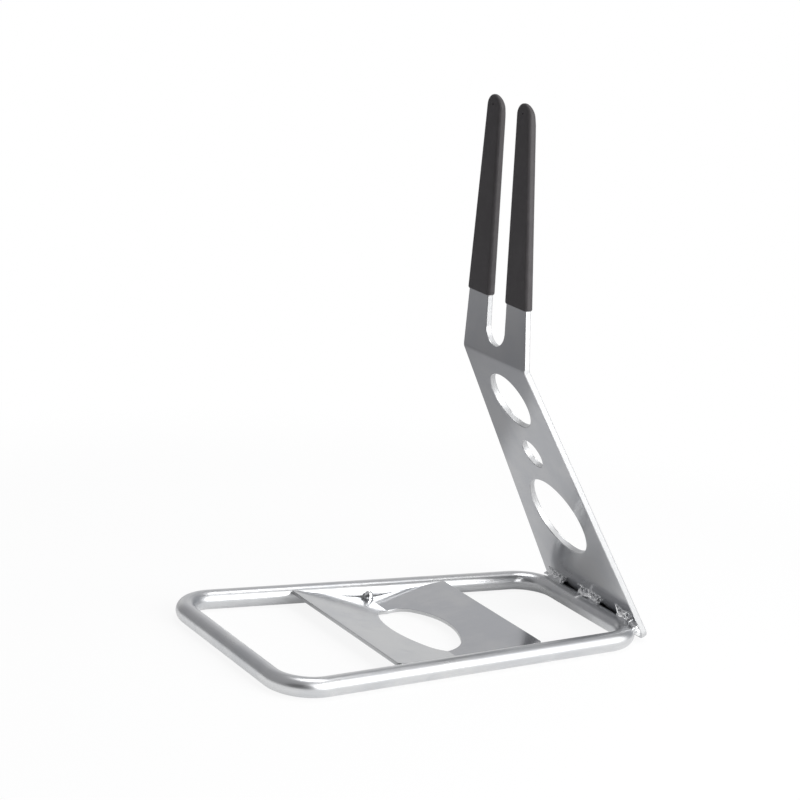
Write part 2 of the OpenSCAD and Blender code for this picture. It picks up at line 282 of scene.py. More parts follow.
def evaluated_mesh(carrier: bpy.types.Object) -> Mesh:
    """Makes a plain mesh of an object as its modifiers leave it.

    Args:
        carrier: the object, which is removed.

    Returns:
        The mesh.
    """
    bpy.context.view_layer.update()
    graph = bpy.context.evaluated_depsgraph_get()
    ready = carrier.evaluated_get(graph)
    mesh = bpy.data.meshes.new_from_object(ready, preserve_all_data_layers=True, depsgraph=graph)
    carrier.modifiers.clear()
    bpy.data.objects.remove(carrier)
    return mesh


def new_material(name: str) -> tuple[Material, NodeGraph]:
    """Makes an empty material.

    Args:
        name: the material's name.

    Returns:
        The material and its graph.
    """
    material = bpy.data.materials.new(name)
    material.use_nodes = True
    material.node_tree.nodes.clear()
    return material, NodeGraph(material.node_tree)


@dataclass(frozen=True)
class ZincFinish:
    """Bright zinc plating on steel: satin gloss, faint clouds, fine lines and rubbed edges."""

    name: str
    grain: Grain
    colour: Colour = (0.565, 0.57, 0.58)
    cloud_colour: Colour = (0.52, 0.53, 0.55)
    line_colour: Colour = (0.30, 0.305, 0.315)
    rubbed_colour: Colour = (0.70, 0.705, 0.71)
    cut_colour: Colour = (0.62, 0.625, 0.63)
    roughness: float = 0.12
    cloud_roughness: float = 0.04
    rubbed_roughness: float = 0.10
    cut_roughness: float = 0.52
    cloud_scale: float = 26.0
    cloud_span: Span = (0.35, 0.65)
    patch_scale: float = 160.0
    patch_span: Span = (0.30, 0.62, 0.35, 1.0)
    line_stretch: Triple = (700.0, 16.0, 60.0)
    line_share: float = 0.03
    line_span: Span = (0.3, 0.7, 0.0)
    line_roughness: Span = (0.2, 0.8, -0.02, 0.03)
    line_relief: float = 0.5
    grain_scale: float = 1400.0
    grain_height: float = 0.0025 * MM

    def material(self) -> Material:
        """Builds the material.

        Returns:
            The finished material.
        """
        material, graph = new_material(self.name)
        place = graph.object_place()
        cloud = graph.spread(graph.grain(place, self.cloud_scale, 4.0, 0.6), *self.cloud_span)
        along = graph.attribute(self.grain.value, "Vector")
        lines = graph.grain(graph.shade("Mapping", {"Vector": along, "Scale": self.line_stretch}), 1.0, 3.0)
        patchy = graph.spread(graph.grain(place, self.patch_scale, 3.0), *self.patch_span)
        wear = graph.math("MULTIPLY", graph.attribute("wear", "Fac"), patchy, clamp=True)
        cut = graph.attribute("cut", "Fac")
        colour = graph.blend(cloud, self.colour, self.cloud_colour)
        colour = graph.blend(graph.spread(lines, *self.line_span, self.line_share), colour, self.line_colour)
        colour = graph.blend(cut, graph.blend(wear, colour, self.rubbed_colour), self.cut_colour)
        base = graph.spread(cloud, 0.0, 1.0, self.roughness, self.roughness + self.cloud_roughness)
        lined = graph.math("ADD", base, graph.spread(lines, *self.line_roughness))
        worn = graph.spread(wear, 0.0, 1.0, 0.0, self.roughness - self.rubbed_roughness)
        smooth = graph.math("SUBTRACT", lined, worn, clamp=True)
        sheared = graph.spread(cut, 0.0, 1.0, 0.0, self.cut_roughness - self.roughness)
        roughness = graph.math("ADD", smooth, sheared, clamp=True)
        fine = graph.math("MULTIPLY", graph.grain(place, self.grain_scale, 3.0), 1.0 - self.line_relief)
        relief = graph.math("ADD", fine, graph.math("MULTIPLY", lines, self.line_relief))
        graph.coat(colour, roughness, relief, self.grain_height, 1.0)
        return material


@dataclass(frozen=True)
class WeldFinish:
    """Plated weld metal: bright facets, painted shade in the hollows between them and patches of soot."""

    name: str
    colour: Colour = (0.95, 0.955, 0.96)
    hollow_colour: Colour = (0.14, 0.14, 0.145)
    roughness: float = 0.10
    hollow_roughness: float = 0.38
    hollow_span: Span = (0.30, 0.42)
    soot_scale: float = 260.0
    soot_span: Span = (0.64, 0.76)
    soot_share: float = 0.5
    pit_scale: float = 1100.0
    pit_height: float = 0.012 * MM

    def material(self) -> Material:
        """Builds the material.

        Returns:
            The finished material.
        """
        material, graph = new_material(self.name)
        place = graph.object_place()
        bent = graph.add("ShaderNodeNewGeometry").outputs["Pointiness"]
        soot = graph.grain(place, self.soot_scale, 3.0, 0.6)
        soot = graph.spread(soot, *self.soot_span, 0.0, self.soot_share)
        # Painted shade darkens the hollows, where pointiness is low; the noise patches are soot.
        shade_and_soot = graph.math("MAXIMUM", graph.spread(bent, *self.hollow_span, 1.0, 0.0), soot, clamp=True)
        colour = graph.blend(shade_and_soot, self.colour, self.hollow_colour)
        roughness = graph.spread(shade_and_soot, 0.0, 1.0, self.roughness, self.hollow_roughness)
        graph.coat(colour, roughness, graph.grain(place, self.pit_scale, 4.0, 0.6), self.pit_height, 1.0)
        return material


@dataclass(frozen=True)
class RubberFinish:
    """Dipped black rubber: soft sheen, faint dust and a fine pebbled skin."""

    name: str
    colour: Colour = (0.080, 0.075, 0.0775)
    dust_colour: Colour = (0.094, 0.089, 0.092)
    dust_scale: float = 90.0
    dust_span: Span = (0.42, 0.72)
    sheen: float = 0.18
    roughness: float = 0.38
    dust_roughness: float = 0.12
    skin_scale: float = 1500.0
    skin_height: float = 0.03 * MM

    def material(self) -> Material:
        """Builds the material.

        Returns:
            The finished material.
        """
        material, graph = new_material(self.name)
        place = graph.object_place()
        dust = graph.spread(graph.grain(place, self.dust_scale, 5.0, 0.6), *self.dust_span)
        colour = graph.blend(dust, self.colour, self.dust_colour)
        roughness = graph.spread(dust, 0.0, 1.0, self.roughness, self.roughness + self.dust_roughness)
        shader = graph.coat(colour, roughness, graph.grain(place, self.skin_scale, 2.0), self.skin_height, 0.0)
        shader.inputs["Specular IOR Level"].default_value = self.sheen
        return material


@dataclass(frozen=True)
class FloorFinish:
    """Plain pale table top that the camera sees as white but for the shadow; light and reflections see painted shade
    on it behind and ahead of the stand, past its edges and towards the doorway, and reflections see a painted glow
    round the stand.
    """

    name: str
    colour: Colour = (0.95, 0.95, 0.95)
    mottle_share: float = 0.985
    mottle_scale: float = 3.0
    # The zones and colours down to the doorway's are painted shade, which light and reflections see; the camera sees
    # the plain colour.
    behind: Edge = Edge((0.35, 0.94, 0.0), -0.02, 0.10)
    behind_colour: Colour = (0.69, 0.69, 0.695)
    ahead: Edge = Edge(NEAR, 0.22, 0.52)
    ahead_colour: Colour = (0.86, 0.86, 0.865)
    far: Edge = Edge(FAR, 0.215, 0.25)
    aside: Edge = Edge(RIGHT, 0.40, 0.65)
    beyond_colour: Colour = (0.46, 0.46, 0.465)
    dip_start: Edge = Edge(FAR, 0.31, 0.46)
    dip_end: Edge = Edge(FAR, 0.60, 0.90)
    dip_colour: Colour = (0.33, 0.33, 0.335)
    doorway: Edge = Edge((-0.80, -0.60, 0.0), 0.45, 0.60)
    doorway_colour: Colour = (0.10, 0.10, 0.105)
    lift: float = 0.88
    lift_start: float = 0.45
    lift_end: float = 0.72
    # Shares of a painted white glow that reflections see round the stand and behind it.
    gloss_lift: float = 0.70
    behind_lift: float = 0.18

    def material(self) -> Material:
        """Builds the material.

        Returns:
            The finished material.
        """
        material, graph = new_material(self.name)
        place = graph.object_place()
        behind, ahead, doorway = (graph.past(place, edge) for edge in (self.behind, self.ahead, self.doorway))
        beyond = graph.math("MAXIMUM", graph.past(place, self.far), graph.past(place, self.aside))
        dip = graph.math("SUBTRACT", graph.past(place, self.dip_start), graph.past(place, self.dip_end))
        mottle = tuple(self.mottle_share * part for part in self.colour)
        plain = graph.blend(graph.grain(place, self.mottle_scale, 2.0), self.colour, mottle)
        # Painted shade: darker behind and ahead of the stand, past the table top's edges with a darker band further
        # on, and in a dark patch towards the doorway.
        tone = graph.blend(behind, plain, self.behind_colour)
        tone = graph.blend(ahead, tone, self.ahead_colour)
        tone = graph.blend(beyond, tone, graph.blend(dip, self.beyond_colour, self.dip_colour))
        tone = graph.blend(doorway, tone, self.doorway_colour)
        ray = graph.add("ShaderNodeLightPath").outputs
        matt = graph.shade("BsdfDiffuse", {"Color": graph.blend(ray["Is Camera Ray"], tone, plain)})
        white = graph.shade("Emission", {"Color": WHITE, "Strength": 1.0})
        reach = graph.add("ShaderNodeVectorMath", {0: place}, operation="LENGTH").outputs["Value"]
        lift = graph.spread(reach, self.lift_start, self.lift_end, self.lift, 1.0)
        seen = graph.math("MULTIPLY", ray["Is Camera Ray"], lift)
        away = graph.math("MAXIMUM", graph.math("MAXIMUM", beyond, doorway), ahead)
        # Painted glow that the metal mirrors: a white share for glossy and transmission rays, strong round the stand,
        # weaker behind it, none in the shaded zones.
        painted_glow = graph.spread(behind, 0.0, 1.0, self.gloss_lift, self.behind_lift)
        painted_glow = graph.math("MULTIPLY", painted_glow, graph.math("SUBTRACT", 1.0, away))
        mirrored_ray = graph.math("MAXIMUM", ray["Is Glossy Ray"], ray["Is Transmission Ray"])
        share = graph.math("MAXIMUM", seen, graph.math("MULTIPLY", mirrored_ray, painted_glow))
        graph.add("ShaderNodeOutputMaterial", {"Surface": graph.shade("MixShader", {0: share, 1: matt, 2: white})})
        return material


def arc(centre: Point2, radius: float, start: float, end: float, steps: int) -> Loop:
    """Returns points on a circle from one angle to another, in degrees, both ends included."""
    angles = [math.radians(start + (end - start) * k / steps) for k in range(steps + 1)]
    return [(centre[0] + radius * math.cos(a), centre[1] + radius * math.sin(a)) for a in angles]


def mirrored(points: Loop) -> Loop:
    """Returns the points mirrored across the centre line, in reverse order."""
    return [(-x, y) for x, y in reversed(points)]


def finished_piece(name: str, mesh: Mesh, nodes: tuple[str, ...]) -> bpy.types.Object:
    """Makes a mesh a piece that stands for CAD nodes and rides on the stand's body.

    Args:
        name: the piece's name.
        mesh: its finished mesh, with its place in its points.
        nodes: the CAD nodes that it stands for.

    Returns:
        The piece's object.
    """
    mesh.name = name
    piece = linked(name, mesh)
    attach(piece, BODY)
    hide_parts(*nodes)
    LOG.info("%s: %d faces, stands for %s", name, len(mesh.polygons), ", ".join(nodes))
    return piece


def edge_rings(radius: float, low: float, high: float, steps: int) -> list[Point2]:
    """Returns the inset and depth of each ring of points round an edge.

    Args:
        radius: the edge's rounding.
        low: depth of the front face.
        high: depth of the back face.
        steps: number of spans round each rounding.

    Returns:
        Pairs from the front face, round the edge, to the back face.
    """
    quarter = [math.radians(90.0 * k / steps) for k in range(steps + 1)]
    front = [(radius - radius * math.sin(a), low + radius - radius * math.cos(a)) for a in quarter]
    return front + [(inset, low + high - depth) for inset, depth in reversed(front)]


def bridge(shape: bmesh.types.BMesh, before: list, after: list) -> list[bmesh.types.BMFace]:
    """Returns new faces between two closed rows of points."""
    corners = zip(before, before[1:] + before[:1], after[1:] + after[:1], after)
    return [shape.faces.new(four) for four in corners]


def rim(shape: bmesh.types.BMesh, row: list) -> list[bmesh.types.BMEdge]:
    """Returns the edges along a closed row of points."""
    return [shape.edges.get(pair) for pair in zip(row, row[1:] + row[:1])]


def ended(shape: bmesh.types.BMesh, name: str, finish: Material) -> Mesh:
    """Turns a closed skin into a smooth mesh.

    Args:
        shape: the skin, which is freed.
        name: the mesh's name.
        finish: its material.

    Returns:
        The mesh.
    """
    bmesh.ops.recalc_face_normals(shape, faces=shape.faces)
    for face in shape.faces:
        face.smooth = True
    mesh = bpy.data.meshes.new(name)
    shape.to_mesh(mesh)
    shape.free()
    mesh.materials.append(finish)
    return mesh


def edge_normals(loop: Loop) -> list[Point2]:
    """Returns the mitred normals on the left of a closed loop's direction.

    Args:
        loop: the loop's points in order.

    Returns:
        One normal for each point, longer at sharp corners.
    """
    out = []
    count = len(loop)
    for k, point in enumerate(loop):
        before = Vector(point) - Vector(loop[k - 1])
        after = Vector(loop[(k + 1) % count]) - Vector(point)
        first = Vector((-before.y, before.x)).normalized()
        second = Vector((-after.y, after.x)).normalized()
        total = (first + second).normalized()
        out.append(tuple(total / max(total.dot(first), 0.3)))
    return out


@dataclass
class FoldedSheet:
    """A sheet cut flat with rounded cut edges and then folded."""

    name: str
    thickness: float
    edge_round: float = 0.35 * MM
    round_steps: int = 3
    normal_weight: int = 80

    def outline(self) -> Loop:
        """Returns the flat pattern's outline, anticlockwise."""
        raise NotImplementedError

    def holes(self) -> list[Loop]:
        """Returns the flat pattern's holes, clockwise."""
        raise NotImplementedError

    def stations(self) -> list[float]:
        """Returns the places along the sheet where it is creased so that it can bend."""
        raise NotImplementedError

    def folded(self, across: float, along: float, depth: float) -> Vector:
        """Returns where a point of the flat sheet lies when it is folded."""
        raise NotImplementedError

    def mesh(self, finish: Material) -> Mesh:
        """Builds the folded sheet's mesh.

        Args:
            finish: the sheet's material.

        Returns:
            The mesh, with its flat place, its rubbed edges and its cut walls as attributes.
        """
        shape = bmesh.new()
        flat = shape.verts.layers.float_vector.new("flat")
        wear = shape.faces.layers.float.new("wear")
        cut = shape.faces.layers.float.new("cut")
        rings = edge_rings(self.edge_round, 0.0, self.thickness, self.round_steps)
        caps: tuple[list[bmesh.types.BMEdge], list[bmesh.types.BMEdge]] = ([], [])
        for loop in [self.outline(), *self.holes()]:
            normals = edge_normals(loop)
            rows = [
                [
                    shape.verts.new((point[0] + normal[0] * inset, point[1] + normal[1] * inset, depth))
                    for point, normal in zip(loop, normals)
                ]
                for inset, depth in rings
            ]
            for k, (before, after) in enumerate(zip(rows, rows[1:])):
                for face in bridge(shape, before, after):
                    face[cut] = 1.0 if k == self.round_steps else 0.0
                    face[wear] = 1.0 - face[cut]
            for cap, row in zip(caps, (rows[0], rows[-1])):
                cap.extend(rim(shape, row))
        for cap in caps:
            bmesh.ops.triangle_fill(shape, use_beauty=True, edges=cap)
        for place in self.stations():
            parts = [*shape.verts, *shape.edges, *shape.faces]
            bmesh.ops.bisect_plane(shape, geom=parts, dist=1e-7, plane_co=(0.0, place, 0.0), plane_no=FAR)
        for vert in shape.verts:
            vert[flat] = vert.co
            vert.co = self.folded(*vert.co)
        return ended(shape, self.name, finish)

    def build(self, finish: Material) -> None:
        """Builds and dresses the sheet in its finish."""
        piece = finished_piece(f"{self.name}_dressed", self.mesh(finish), (self.name,))
        piece.modifiers.new("flat_faces", "WEIGHTED_NORMAL").weight = self.normal_weight


@dataclass
class BaseLoop:
    """The bent tube loop on the floor."""

    tube_d: float = 16.0 * MM
    wall: float = 1.5 * MM
    length: float = 354.0 * MM
    wide_span: float = 206.4 * MM
    rail_angle: float = math.radians(4.6)
    bend_radius: float = 30.0 * MM
    drain_d: float = 4.0 * MM
    bend_steps: int = 28
    around_steps: int = 96
    drain_steps: int = 32
    sharp_angle: float = math.radians(40.0)

    @property
    def run(self) -> float:
        """Distance between the two end tubes' centrelines."""
        return self.length - self.tube_d

    def rail_y(self, x: float) -> float:
        """Distance of a rail from the centre plane, x from the loop's middle."""
        return self.wide_span / 2.0 - (x + self.run / 2.0) * math.tan(self.rail_angle)

    def sizes(self) -> dict[str, object]:
        """Lists the loop's sizes for its tree.

        Returns:
            Each input's value by its name.
        """
        radius = self.tube_d / 2.0
        return {
            "Run": self.run,
            "Wide Span": self.wide_span,
            "Narrow Span": self.wide_span - 2.0 * self.run * math.tan(self.rail_angle),
            "Bend Radius": self.bend_radius,
            "Tube Radius": radius,
            "Bore Radius": radius - self.wall,
            "Drain Radius": self.drain_d / 2.0,
            "Bend Steps": self.bend_steps,
            "Around Steps": self.around_steps,
            "Drain Steps": self.drain_steps,
            "Shift": Vector((MIDDLE_SHIFT, 0.0, radius)),
        }

    def recipe(self) -> GeometryRecipe:
        """Builds the node tree that sweeps the tube along its rounded path.

        Returns:
            The tree.
        """
        recipe = GeometryRecipe("tube_loop", self.sizes())
        graph, size = recipe.graph, recipe.source
        spans = {"Height": size["Run"], "Bottom Width": size["Wide Span"], "Top Width": size["Narrow Span"]}
        path = graph.form("CurvePrimitiveQuadrilateral", {**spans, "Offset": 0.0}, mode="TRAPEZOID")
        path = graph.form("Transform", {0: path, "Rotation": (0.0, 0.0, -math.pi / 2.0)})
        bends = {"Radius": size["Bend Radius"], "Count": size["Bend Steps"]}
        path = graph.form("FilletCurve", {0: path, **bends}, mode="POLY")
        path = graph.store(path, "run", graph.add("GeometryNodeSplineParameter").outputs["Length"], "FLOAT")
        skins = []
        for radius in ("Tube Radius", "Bore Radius"):
            circle = {"Resolution": size["Around Steps"], "Radius": size[radius]}
            ring = graph.form("CurvePrimitiveCircle", circle, mode="RADIUS")
            ring = graph.store(ring, "round", graph.form("InputPosition"))
            skins.append(graph.form("CurveToMesh", {0: path, 1: ring}))
        both = graph.add("GeometryNodeJoinGeometry")
        for skin in (skins[0], graph.form("FlipFaces", {0: skins[1]})):
            graph.tree.links.new(skin, both.inputs[0])
        cylinder = {"Vertices": size["Drain Steps"], "Radius": size["Drain Radius"], "Depth": size["Tube Radius"]}
        half = graph.math("MULTIPLY", size["Run"], -0.5)
        low = graph.math("MULTIPLY", size["Tube Radius"], -1.0)
        spot = graph.shade("CombineXYZ", {0: half, 2: low})
        drill = graph.form("Transform", {0: graph.form("MeshCylinder", cylinder), "Translation": spot})
        tube = graph.form("MeshBoolean", {0: both.outputs[0], 1: drill}, operation="DIFFERENCE", solver="EXACT")
        tube = graph.form("Transform", {0: tube, "Translation": size["Shift"]})
        along = graph.form("InputNamedAttribute", {"Name": "run"}, data_type="FLOAT")
        around = graph.form("InputNamedAttribute", {"Name": "round"}, data_type="FLOAT_VECTOR")
        split = graph.add("ShaderNodeSeparateXYZ", {0: around}).outputs
        lines = graph.shade("CombineXYZ", {0: split[0], 1: along, 2: split[1]})
        recipe.end(graph.form("SetShadeSmooth", {0: graph.store(tube, Grain.DRAWN_TUBE.value, lines)}))
        return recipe

    def build(self, finish: Material) -> None:
        """Builds and dresses the tube loop.

        Args:
            finish: the tube's material.
        """
        mesh = self.recipe().run(self.sizes(), finish)
        finished_piece("base_frame_dressed", mesh, ("base_frame",))
        mesh.set_sharp_from_angle(angle=self.sharp_angle)


@dataclass
class UprightPlate(FoldedSheet):
    """The leaning plate with three holes whose upper part is the axle fork."""

    name: str = "upright_plate"
    thickness: float = 5.0 * MM
    edge_round: float = 0.6 * MM
    foot_width: float = 139.2 * MM
    fold_width: float = 91.4 * MM
    fold_height: float = 229.8 * MM
    lower_lean: float = math.radians(30.3)
    upper_lean: float = math.radians(3.0)
    fold_radius: float = 5.0 * MM
    foot_corner: float = 7.0 * MM
    foot_gap: float = 1.5 * MM
    hole_sizes: tuple[float, ...] = (72.8 * MM, 26.0 * MM, 50.7 * MM)
    hole_places: tuple[float, ...] = (105.7 * MM, 170.8 * MM, 224.7 * MM)
    slot_width: float = 27.2 * MM
    slot_bottom: float = 11.0 * MM
    fork_height: float = 208.2 * MM
    fork_width: float = 57.8 * MM
    floor_line: float = 182.9406 * MM
    fold_steps: int = 14
    tip_radius: float = 7.962 * MM
    sleeve_face: float = 1.2 * MM
    nose_below: float = 16.1 * MM
    nose_length: float = 18.0 * MM
    nose_drop: float = 3.0 * MM
    nose_steps: int = 6
    corner_steps: int = 12
    tip_steps: int = 32
    slot_steps: int = 48
    hole_steps: int = 128

    @property
    def front_radius(self) -> float:
        """Outside radius of the fold, on the front face."""
        return self.fold_radius + self.thickness

    @property
    def tangent(self) -> float:
        """Length of sheet from the fold's corner to the start of its bend."""
        return self.front_radius * math.tan((self.lower_lean - self.upper_lean) / 2.0)

    @property
    def lower_top(self) -> float:
        """Length of the lower part from the floor line to the bend."""
        return self.fold_height / math.cos(self.lower_lean) - self.tangent

    @property
    def bend_length(self) -> float:
        """Length of the flat pattern that the bend takes up."""
        return (self.lower_lean - self.upper_lean) * (self.fold_radius + self.thickness / 2.0)

    def flat_up(self, above_fold: float) -> float:
        """Returns the flat pattern's place of a height above the fold's corner."""
        return self.lower_top + self.bend_length + above_fold - self.tangent

    def outline(self) -> Loop:
        """Lays out the flat pattern's outline.

        Returns:
            The outline, anticlockwise.
        """
        foot_half, fold_half = self.foot_width / 2.0, self.fold_width / 2.0
        slope = (foot_half - fold_half) / self.lower_top
        side = math.degrees(math.atan(slope))
        corner = self.foot_corner
        corner_up = self.foot_gap + corner
        corner_y = foot_half - slope * corner_up - corner / math.cos(math.radians(side))
        half_slot = self.slot_width / 2.0
        tip_y = half_slot + self.tip_radius
        tip_up = self.flat_up(self.fork_height - self.tip_radius)
        fork_slope = (fold_half - self.fork_width / 2.0) / (self.fork_height - self.tangent)
        fork_side = math.degrees(math.atan(fork_slope))
        slot_up = self.flat_up(self.slot_bottom + half_slot)
        right = [
            *arc((corner_y, corner_up), corner, -90.0, side, self.corner_steps),
            (fold_half, self.lower_top),
            (fold_half, self.lower_top + self.bend_length),
            *arc((tip_y, tip_up), self.tip_radius, fork_side, 180.0, self.tip_steps),
        ]
        slot = arc((0.0, slot_up), half_slot, 0.0, -180.0, self.slot_steps)
        return [*right, *slot, *mirrored(right)]

    def holes(self) -> list[Loop]:
        """Lays out the flat pattern's holes.

        Returns:
            The three holes, clockwise.
        """
        return [
            arc((0.0, up), size / 2.0, 360.0, 0.0, self.hole_steps)[:-1]
            for size, up in zip(self.hole_sizes, self.hole_places)
        ]

    @property
    def nose_start(self) -> float:
        """Place up the flat pattern from which the prongs get thinner towards their tips."""
        return self.flat_up(self.fork_height - self.nose_below)

    def thinned(self, along: float, depth: float) -> float:
        """Returns a point's depth in a prong or its sleeve, which get thinner towards their tips.

        Args:
            along: distance up the sheet from the floor line.
            depth: distance behind the front face before the thinning.

        Returns:
            The depth after it.
        """
        nose = max(along - self.nose_start, 0.0) / self.nose_length
        behind = max(depth + self.sleeve_face, 0.0) / (self.thickness + 2.0 * self.sleeve_face)
        return depth - behind * self.nose_drop * nose * nose

    def stations(self) -> list[float]:
        """Lists the places up the sheet where it is creased.

        Returns:
            Those round the fold and those of the prongs' thinning.
        """
        fold = [self.lower_top + self.bend_length * k / self.fold_steps for k in range(self.fold_steps + 1)]
        nose = [self.nose_start + self.nose_below * k / self.nose_steps for k in range(self.nose_steps)]
        return fold + nose

    def folded(self, across: float, along: float, depth: float) -> Vector:
        """Returns where a point of the flat sheet lies when it is folded.

        Args:
            across: distance from the centre line.
            along: distance up the sheet from the floor line.
            depth: distance behind the front face.

        Returns:
            The point's place in the stand.
        """
        depth = self.thinned(along, depth)
        share = min(max((along - self.lower_top) / self.bend_length, 0.0), 1.0)
        lean = self.lower_lean + (self.upper_lean - self.lower_lean) * share
        low = min(along, self.lower_top)
        high = max(along - self.lower_top - self.bend_length, 0.0)
        low_dir = Vector((-math.sin(self.lower_lean), 0.0, math.cos(self.lower_lean)))
        low_back = Vector((math.cos(self.lower_lean), 0.0, math.sin(self.lower_lean)))
        up_dir = Vector((-math.sin(lean), 0.0, math.cos(lean)))
        back = Vector((math.cos(lean), 0.0, math.sin(lean)))
        start = Vector((self.floor_line + MIDDLE_SHIFT, across, 0.0)) + low_dir * low
        if share <= 0.0:
            return start + low_back * depth
        centre = start + low_back * self.front_radius
        return centre - back * (self.front_radius - depth) + up_dir * high


@dataclass
class TroughPlate(FoldedSheet):
    """The shallow folded plate with an oval opening that takes the tyre."""

    name: str = "trough_plate"
    thickness: float = 3.0 * MM
    length: float = 141.6 * MM
    rise: float = math.radians(9.2)
    fold_radius: float = 3.0 * MM
    fold_x: float = 3.0 * MM
    gap: float = 0.25 * MM
    end_gap: float = 0.2 * MM
    oval_across: float = 97.0 * MM
    oval_along: float = 54.6 * MM
    oval_offset: float = 1.8 * MM
    oval_end_share: float = 0.69
    end_steps: int = 40
    flank_steps: int = 64
    fold_steps: int = 8
    base: BaseLoop = field(default_factory=BaseLoop)

    @property
    def outer_radius(self) -> float:
        """Radius of the fold on the underside."""
        return self.fold_radius + self.thickness

    @property
    def bend_half(self) -> float:
        """Half the length of the flat pattern that the fold takes up."""
        return self.rise * (self.fold_radius + self.thickness / 2.0)

    @property
    def reach(self) -> float:
        """Length of one flat half from the end of the bend."""
        return self.length / 2.0 - self.fold_radius * math.tan(self.rise)

    def flat_along(self, x: float) -> float:
        """Unrolls a distance from the fold.

        Args:
            x: the distance in plan.

        Returns:
            The distance from it in the flat pattern.
        """
        bend_x = (self.fold_radius + self.thickness / 2.0) * math.sin(self.rise)
        if abs(x) <= bend_x:
            return math.asin(x / (self.fold_radius + self.thickness / 2.0)) / self.rise * self.bend_half
        return math.copysign(self.bend_half + (abs(x) - bend_x) / math.cos(self.rise), x)

    def end_y(self, along: float) -> float:
        """Returns how far the plate reaches across at a place along it."""
        x = self.fold_x + along * math.cos(self.rise)
        return self.base.rail_y(x) - (self.base.tube_d / 2.0 + self.end_gap) / math.cos(self.base.rail_angle)

    def outline(self) -> Loop:
        """Lays out the flat pattern's outline.

        Returns:
            The outline, anticlockwise.
        """
        end = self.bend_half + self.reach
        return [
            (self.end_y(-end), -end),
            (self.end_y(0.0), 0.0),
            (self.end_y(end), end),
            (-self.end_y(end), end),
            (-self.end_y(0.0), 0.0),
            (-self.end_y(-end), -end),
        ]

    def holes(self) -> list[Loop]:
        """Lays out the oval opening of four tangent arcs.

        Returns:
            The oval, clockwise.
        """
        a = self.oval_across / 2.0
        b = self.oval_along / 2.0 * math.cos(self.rise)
        r = b * self.oval_end_share
        big = (b * b + (a - r) ** 2 - r * r) / (2.0 * (b - r))
        turn = math.degrees(math.atan((a - r) / (big - b)))
        plan = [
            *arc((a - r, 0.0), r, 90.0 - turn, turn - 90.0, self.end_steps),
            *arc((0.0, big - b), big, turn - 90.0, -90.0 - turn, self.flank_steps)[1:-1],
            *arc((r - a, 0.0), r, 270.0 - turn, 90.0 + turn, self.end_steps),
            *arc((0.0, b - big), big, 90.0 + turn, 90.0 - turn, self.flank_steps)[1:-1],
        ]
        return [[(across, self.flat_along(x + self.oval_offset)) for across, x in plan]]

    def stations(self) -> list[float]:
        """Returns the places along the sheet where it is creased."""
        return [self.bend_half * (2.0 * k / self.fold_steps - 1.0) for k in range(self.fold_steps + 1)]

    def folded(self, across: float, along: float, depth: float) -> Vector:
        """Returns where a point of the flat sheet lies when it is folded.

        Args:
            across: distance from the centre line.
            along: distance from the fold.
            depth: distance above the underside.

        Returns:
            The point's place in the stand.
        """
        share = min(max(along / self.bend_half, -1.0), 1.0)
        angle = share * self.rise
        flat = math.copysign(max(abs(along) - self.bend_half, 0.0), along)
        lift = depth - self.outer_radius
        x = flat * math.cos(angle) - lift * math.sin(angle)
        z = flat * math.sin(angle) + lift * math.cos(angle)
        return Vector((self.fold_x + MIDDLE_SHIFT + x, across, self.gap + self.outer_radius + z))


